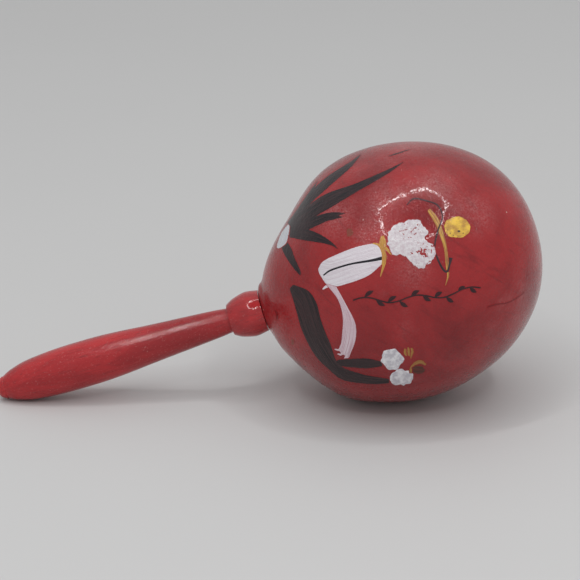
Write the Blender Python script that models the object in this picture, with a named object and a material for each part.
"""A painted gourd maraca, lying on its side as it rests on a table.

The head is a dried gourd with its natural hollow. A turned wooden handle ends in a round tenon that
passes through a turned collar ring into the gourd's stem hole, where a bead of glue holds it. Loose
seeds lie in the bottom of the hollow.

Everything but the seeds is drawn about the maraca's long axis: local X runs from the handle's butt
to the gourd's tip, and x = 0 is the gourd's stem pole. An empty then leans the whole onto the table,
where the gourd and the butt end touch it. Lengths are in metres.
"""

import math

import bmesh
import bpy
from mathutils import Euler, Matrix, Vector
from mathutils.bvhtree import BVHTree

# Driving dimensions.
GAP = 0.0003                # kept between pieces that touch
GOURD_LENGTH = 0.1214       # stem pole to tip
GOURD_RADIUS = 0.0542       # at the widest section
GOURD_WALL = 0.0030
REST_SPOT_DEPTH = 0.0007    # how much the underside is flattened where the gourd rests
TENON_RADIUS = 0.0052
TENON_END = 0.0180          # how far the tenon reaches past the stem pole
HANDLE_LENGTH = 0.1033      # butt to the collar
COLLAR_LENGTH = 0.0146      # handle side to the gourd, along its outside
COLLAR_RADIUS = 0.0097
COLLAR_GOURD_RADIUS = 0.0089
GLUE_RADIUS = 0.0085
SEED_SIZE = (0.0064, 0.0056, 0.0052)
SEED_SPACING = 0.0070
TOSSED_SEEDS = 24
SWIRL_STATIONS = (0.0125, 0.0197)   # of the stray seeds that run round the hollow, from the stem pole

# Mesh resolution.
GOURD_STEPS = 48
OUTER_STATIONS = 24
HOLLOW_STATIONS = 16
TURNED_STEPS = 32

BORE_RADIUS = TENON_RADIUS + GAP    # of the collar, the glue bead and the gourd's stem hole

# How the gourd's section swells along the axis: fuller towards the tip than towards the stem.
MIDDLE_FULLNESS = 0.555
FULLNESS_CHANGE = 0.10
FULLNESS_BLEND = 3.0

# How far the section's centre sags: evenly towards the stem, and more at the shoulder.
BELLY_SAG = 0.0012
SHOULDER_SAG = 0.0031
SHOULDER_STATION = -0.64
SHOULDER_REACH = 0.22
FREE_RADIUS = 0.016         # the sag has its full depth from this radius on

# The handle's outline, as distance from the butt and radius.
BUTT_RADIUS = 0.0032
HANDLE_OUTLINE = (
    (0.0000, BUTT_RADIUS), (0.0010, 0.0042), (0.0031, 0.0051), (0.0075, 0.0069), (0.0150, 0.0087),
    (0.0280, 0.0097), (0.0440, 0.0098), (0.0545, 0.0093), (0.0675, 0.0082), (0.0940, 0.0062),
    (HANDLE_LENGTH, TENON_RADIUS),
)
TENON_CHAMFER = 0.0006

# The collar's outline, as distance from its handle side and radius.
COLLAR_FACE_RADIUS = 0.0065
COLLAR_OUTLINE = ((0.0002, 0.0068), (0.0030, 0.0083), (0.0072, 0.0095), (0.0100, COLLAR_RADIUS))

# The middle of the glue fillet's hollow, along the tenon and out from it, in parts of its height.
FILLET_ALONG = 0.45
FILLET_OUT = 0.35

RED_PAINT = (0.36, 0.026, 0.030, 1.0)
COLLAR_RED = (0.42, 0.022, 0.026, 1.0)
HANDLE_RED = (0.44, 0.030, 0.034, 1.0)
GLUE_AMBER = (0.55, 0.36, 0.16, 1.0)
SEED_BROWN = (0.045, 0.024, 0.014, 1.0)


def clear_scene():
    for item in list(bpy.data.objects):
        bpy.data.objects.remove(item, do_unlink=True)


def material(name, colour, roughness, metallic=0.0):
    made = bpy.data.materials.new(name)
    made.use_nodes = True
    shader = made.node_tree.nodes["Principled BSDF"]
    shader.inputs["Base Color"].default_value = colour
    shader.inputs["Roughness"].default_value = roughness
    shader.inputs["Metallic"].default_value = metallic
    return made


def smoothstep(low, high, value):
    ramp = min(max((value - low) / (high - low), 0.0), 1.0)
    return ramp * ramp * (3.0 - 2.0 * ramp)


def smooth_curve(points, pieces):
    """Points on a Catmull-Rom curve through the given points, each span cut into equal pieces."""
    points = [Vector(point) for point in points]
    ends = [2.0 * points[0] - points[1]] + points + [2.0 * points[-1] - points[-2]]
    curve = []
    for before, start, end, after in zip(ends, ends[1:], ends[2:], ends[3:]):
        for step in range(pieces):
            t = step / pieces
            curve.append(0.5 * (2.0 * start + (end - before) * t
                                + (2.0 * before - 5.0 * start + 4.0 * end - after) * t * t
                                + (3.0 * start - before - 3.0 * end + after) * t ** 3))
    return [tuple(point) for point in curve] + [tuple(points[-1])]


def revolve(outline, steps, closed):
    """A bmesh turned about X from (x, radius) points; a closed outline makes a ring."""
    bm = bmesh.new()
    verts = [bm.verts.new((x, 0.0, radius)) for x, radius in outline]
    following = verts[1:] + verts[:1] if closed else verts[1:]
    edges = [bm.edges.new(pair) for pair in zip(verts, following)]
    half_step = math.pi / steps
    bmesh.ops.rotate(bm, verts=verts, cent=(0.0, 0.0, 0.0), matrix=Matrix.Rotation(half_step, 3, "X"))
    bmesh.ops.spin(bm, geom=verts + edges, axis=(1.0, 0.0, 0.0), cent=(0.0, 0.0, 0.0),
                   angle=2.0 * math.pi, steps=steps, use_merge=True)
    bmesh.ops.remove_doubles(bm, verts=bm.verts, dist=1e-6)
    bmesh.ops.recalc_face_normals(bm, faces=bm.faces)
    return bm


def add_object(name, bm, finish, parent=None):
    mesh = bpy.data.meshes.new(name)
    bm.to_mesh(mesh)
    bm.free()
    mesh.shade_smooth()
    mesh.set_sharp_from_angle(angle=math.radians(35.0))
    mesh.materials.append(finish)
    made = bpy.data.objects.new(name, mesh)
    made.parent = parent
    bpy.context.collection.objects.link(made)
    return made


def add_empty(name, parent=None):
    made = bpy.data.objects.new(name, None)
    made.parent = parent
    bpy.context.collection.objects.link(made)
    return made


# The gourd: its section at each station is round, egg-shaped along the axis and a little off centre.

def gourd_station(x, inset=0.0):
    """Where x falls between the stem pole (-1) and the tip (1)."""
    half = 0.5 * GOURD_LENGTH
    return (x - half) / (half - inset)


def gourd_radius(x, inset=0.0):
    """The section's radius at x: fuller towards the tip and drawn in towards the stem."""
    t = min(max(gourd_station(x, inset), -1.0), 1.0)
    fullness = MIDDLE_FULLNESS - FULLNESS_CHANGE * math.tanh(FULLNESS_BLEND * t)
    return (GOURD_RADIUS - inset) * (1.0 - t * t) ** fullness


def gourd_sag(x, radius):
    """How far the section's centre hangs below the axis: the belly sags, the stem stays true."""
    t = gourd_station(x)
    shoulder = SHOULDER_SAG * math.exp(-((t - SHOULDER_STATION) / SHOULDER_REACH) ** 2)
    return (BELLY_SAG * (1.0 - t) + shoulder) * smoothstep(COLLAR_RADIUS, FREE_RADIUS, radius)


def gourd_x_at_radius(radius, inset=0.0):
    """The station near the stem where the section has this radius."""
    low, high = inset, 0.5 * GOURD_LENGTH
    for _ in range(50):
        middle = 0.5 * (low + high)
        low, high = (middle, high) if gourd_radius(middle, inset) < radius else (low, middle)
    return low


def gourd_outline(stations, collar_radius, inset):
    """From the rim of the stem hole, past what sits round it, to the tip; closest at the ends."""
    half = 0.5 * GOURD_LENGTH - inset
    first = gourd_x_at_radius(collar_radius, inset)
    start = math.acos((0.5 * GOURD_LENGTH - first) / half)
    angles = [start + (math.pi - start) * step / stations for step in range(stations)]
    xs = [0.5 * GOURD_LENGTH - half * math.cos(angle) for angle in angles]
    middle = [(x, gourd_radius(x, inset)) for x in xs]
    return [(gourd_x_at_radius(BORE_RADIUS, inset), BORE_RADIUS)] + middle + [(GOURD_LENGTH - inset, 0.0)]


def sagged(bm):
    for vert in bm.verts:
        radius = math.hypot(vert.co.y, vert.co.z)
        vert.co.z -= gourd_sag(vert.co.x, radius)
    return bm


def outer_skin():
    outline = gourd_outline(OUTER_STATIONS, COLLAR_GOURD_RADIUS, 0.0)
    return sagged(revolve(outline, GOURD_STEPS, closed=False))


def hollow_skin():
    outline = gourd_outline(HOLLOW_STATIONS, GLUE_RADIUS, GOURD_WALL)
    return sagged(revolve(outline, GOURD_STEPS, closed=False))


def lean_angle():
    """The lean at which the flattened belly and the handle's butt end touch the table together."""
    stations = [GOURD_LENGTH * step / 400 for step in range(401)]
    gourd = [(x, gourd_radius(x) + gourd_sag(x, gourd_radius(x))) for x in stations]
    handle = handle_outline()

    def depth(outline, angle):
        return max(radius * math.cos(angle) - x * math.sin(angle) for x, radius in outline)

    low, high = math.radians(5.0), math.radians(30.0)
    for _ in range(50):
        angle = 0.5 * (low + high)
        gourd_is_lower = depth(gourd, angle) - REST_SPOT_DEPTH > depth(handle, angle)
        low, high = (angle, high) if gourd_is_lower else (low, angle)
    table = depth(gourd, angle) - REST_SPOT_DEPTH
    return angle, table


def flatten_rest_spot(bm, angle, table):
    """Cuts off what hangs below the table and caps it with one flat face."""
    up = Vector((math.sin(angle), 0.0, math.cos(angle)))
    cut = bmesh.ops.bisect_plane(bm, geom=bm.verts[:] + bm.edges[:] + bm.faces[:], dist=1e-7,
                                 plane_co=-table * up, plane_no=-up, clear_outer=True)
    rim = [item for item in cut["geom_cut"] if isinstance(item, bmesh.types.BMEdge)]
    bmesh.ops.contextual_create(bm, geom=rim)


def gourd_shell(finish, stand, angle, table):
    """The outer skin and the hollow, joined by the wall of the stem hole."""
    bm = outer_skin()
    flatten_rest_spot(bm, angle, table)
    hollow = hollow_skin()
    inner = bpy.data.meshes.new("hollow")
    hollow.to_mesh(inner)
    hollow.free()
    bm.from_mesh(inner)
    bpy.data.meshes.remove(inner)
    bmesh.ops.bridge_loops(bm, edges=[edge for edge in bm.edges if edge.is_boundary])
    bmesh.ops.recalc_face_normals(bm, faces=bm.faces)
    return add_object("gourd_shell", bm, finish, stand)


# The turned wood.

def collar_ends():
    """Where the collar's outside meets the handle and the gourd."""
    gourd_end = gourd_x_at_radius(COLLAR_GOURD_RADIUS) - GAP
    return gourd_end - COLLAR_LENGTH, gourd_end


def handle_outline():
    butt = collar_ends()[0] - HANDLE_LENGTH
    return [(butt + distance, radius) for distance, radius in smooth_curve(HANDLE_OUTLINE, 3)]


def handle(finish, stand):
    outline = handle_outline()
    butt = [(outline[0][0], 0.0)]
    tenon = [(TENON_END - TENON_CHAMFER, TENON_RADIUS), (TENON_END, TENON_RADIUS - TENON_CHAMFER),
             (TENON_END, 0.0)]
    bm = revolve(butt + outline + tenon, TURNED_STEPS, closed=False)
    return add_object("handle", bm, finish, stand)


def collar(finish, stand):
    """A barrel-shaped ring, its gourd end cupped to the gourd's curve."""
    left, right = collar_ends()
    barrel = [(left + distance, radius) for distance, radius in COLLAR_OUTLINE]
    barrel = smooth_curve(barrel + [(right, COLLAR_GOURD_RADIUS)], 3)
    face = [(left, BORE_RADIUS), (left, COLLAR_FACE_RADIUS)]
    cup = [(gourd_x_at_radius(BORE_RADIUS) - GAP, BORE_RADIUS)]
    return add_object("collar", revolve(face + barrel + cup, TURNED_STEPS, closed=True), finish, stand)


def glue_bead(finish, stand):
    """A fillet of glue in the corner between the tenon and the gourd's inner wall."""
    foot = gourd_x_at_radius(BORE_RADIUS, GOURD_WALL) + GAP
    rim = gourd_x_at_radius(GLUE_RADIUS, GOURD_WALL) + GAP
    height = GLUE_RADIUS - BORE_RADIUS
    outline = [(foot, BORE_RADIUS), (rim + height, BORE_RADIUS),
               (rim + FILLET_ALONG * height, BORE_RADIUS + FILLET_OUT * height), (rim, GLUE_RADIUS)]
    return add_object("glue_bead", revolve(outline, TURNED_STEPS, closed=True), finish, stand)


# The loose seeds.

def seed_mesh(finish):
    bm = bmesh.new()
    bmesh.ops.create_icosphere(bm, subdivisions=2, radius=0.5)
    bmesh.ops.scale(bm, vec=SEED_SIZE, verts=bm.verts)
    mesh = bpy.data.meshes.new("seed")
    bm.to_mesh(mesh)
    bm.free()
    mesh.shade_smooth()
    mesh.materials.append(finish)
    return mesh


def add_seed(name, mesh, number, location, parent=None):
    """A seed turned its own way; number sets how."""
    seed = bpy.data.objects.new(name, mesh)
    seed.parent = parent
    seed.location = location
    golden_angle = math.pi * (3.0 - math.sqrt(5.0))
    tilt = 0.5 * math.sin(1.7 * number)
    seed.rotation_euler = Euler((tilt, 0.6 * tilt, golden_angle * number))
    bpy.context.collection.objects.link(seed)
    return seed


def hollow_wall(stand):
    """The hollow's wall in world space, and its lowest point."""
    bm = hollow_skin()
    bmesh.ops.transform(bm, matrix=stand.matrix_world, verts=bm.verts)
    lowest = min((vert.co.copy() for vert in bm.verts), key=lambda place: place.z)
    tree = BVHTree.FromBMesh(bm)
    bm.free()
    return tree, lowest


def travel(wall, start, direction):
    """How far a seed's centre goes from start before the seed is GAP from the wall."""
    reach = 0.5 * SEED_SIZE[0] + GAP
    gone = 0.0
    for _ in range(80):
        gone += wall.find_nearest(start + direction * gone)[3] - reach
    return gone


def hexagon_grid(count, spacing):
    """The count points of a hexagonal grid that are nearest its middle, in a fixed order."""
    across = [(spacing * (column + 0.5 * (row % 2)), spacing * row * math.sqrt(0.75))
              for row in range(-4, 5) for column in range(-4, 5)]
    return sorted(across, key=lambda point: (round(math.hypot(*point), 6), point))[:count]


def tossed_seeds(mesh, wall, lowest, middle_height):
    """One layer in the bottom of the hollow; each can fly straight up to the far wall."""
    up = Vector((0.0, 0.0, 1.0))
    for number, (x, y) in enumerate(hexagon_grid(TOSSED_SEEDS, SEED_SPACING), start=1):
        start = Vector((lowest.x + x, y, middle_height))
        rest = start - up * travel(wall, start, -up)
        seed = add_seed(f"seed_{number:02d}", mesh, number, rest)
        seed["toss"] = travel(wall, start, up) + start.z - rest.z


def swirl_seeds(mesh, wall, stand):
    """Stray seeds beside the layer; each can run right round the hollow about an empty's X axis."""
    for number, station in enumerate(SWIRL_STATIONS, start=TOSSED_SEEDS + 1):
        pivot = add_empty(f"swirl_axis_{number:02d}", stand)
        pivot.location = (station, 0.0, -gourd_sag(station, gourd_radius(station)))
        bpy.context.view_layer.update()
        centre = pivot.matrix_world.translation
        turn = pivot.matrix_world.to_3x3()
        spokes = [turn @ Vector((0.0, math.sin(angle), math.cos(angle)))
                  for angle in (math.radians(15.0 * step) for step in range(24))]
        radius = min(travel(wall, centre, spoke) for spoke in spokes)
        add_seed(f"seed_{number:02d}", mesh, number, (0.0, 0.0, -radius), pivot)


def centre_over_origin(stand, pieces):
    """Slides the stand along X until the pieces' bounding box is centred on the origin."""
    bpy.context.view_layer.update()
    xs = [(piece.matrix_world @ vert.co).x for piece in pieces for vert in piece.data.vertices]
    stand.location.x -= 0.5 * (min(xs) + max(xs))
    bpy.context.view_layer.update()


def main():
    clear_scene()
    paint = material("red_paint", RED_PAINT, 0.22)
    collar_paint = material("collar_paint", COLLAR_RED, 0.22)
    handle_paint = material("handle_paint", HANDLE_RED, 0.30)
    glue = material("hide_glue", GLUE_AMBER, 0.35)
    seed_skin = material("seed_skin", SEED_BROWN, 0.40)

    angle, table = lean_angle()
    stand = add_empty("stand")
    stand.rotation_euler = (0.0, -angle, 0.0)
    stand.location.z = table
    pieces = [
        gourd_shell(paint, stand, angle, table),
        handle(handle_paint, stand),
        collar(collar_paint, stand),
        glue_bead(glue, stand),
    ]
    centre_over_origin(stand, pieces)

    wall, lowest = hollow_wall(stand)
    mesh = seed_mesh(seed_skin)
    tossed_seeds(mesh, wall, lowest, table)
    swirl_seeds(mesh, wall, stand)


main()
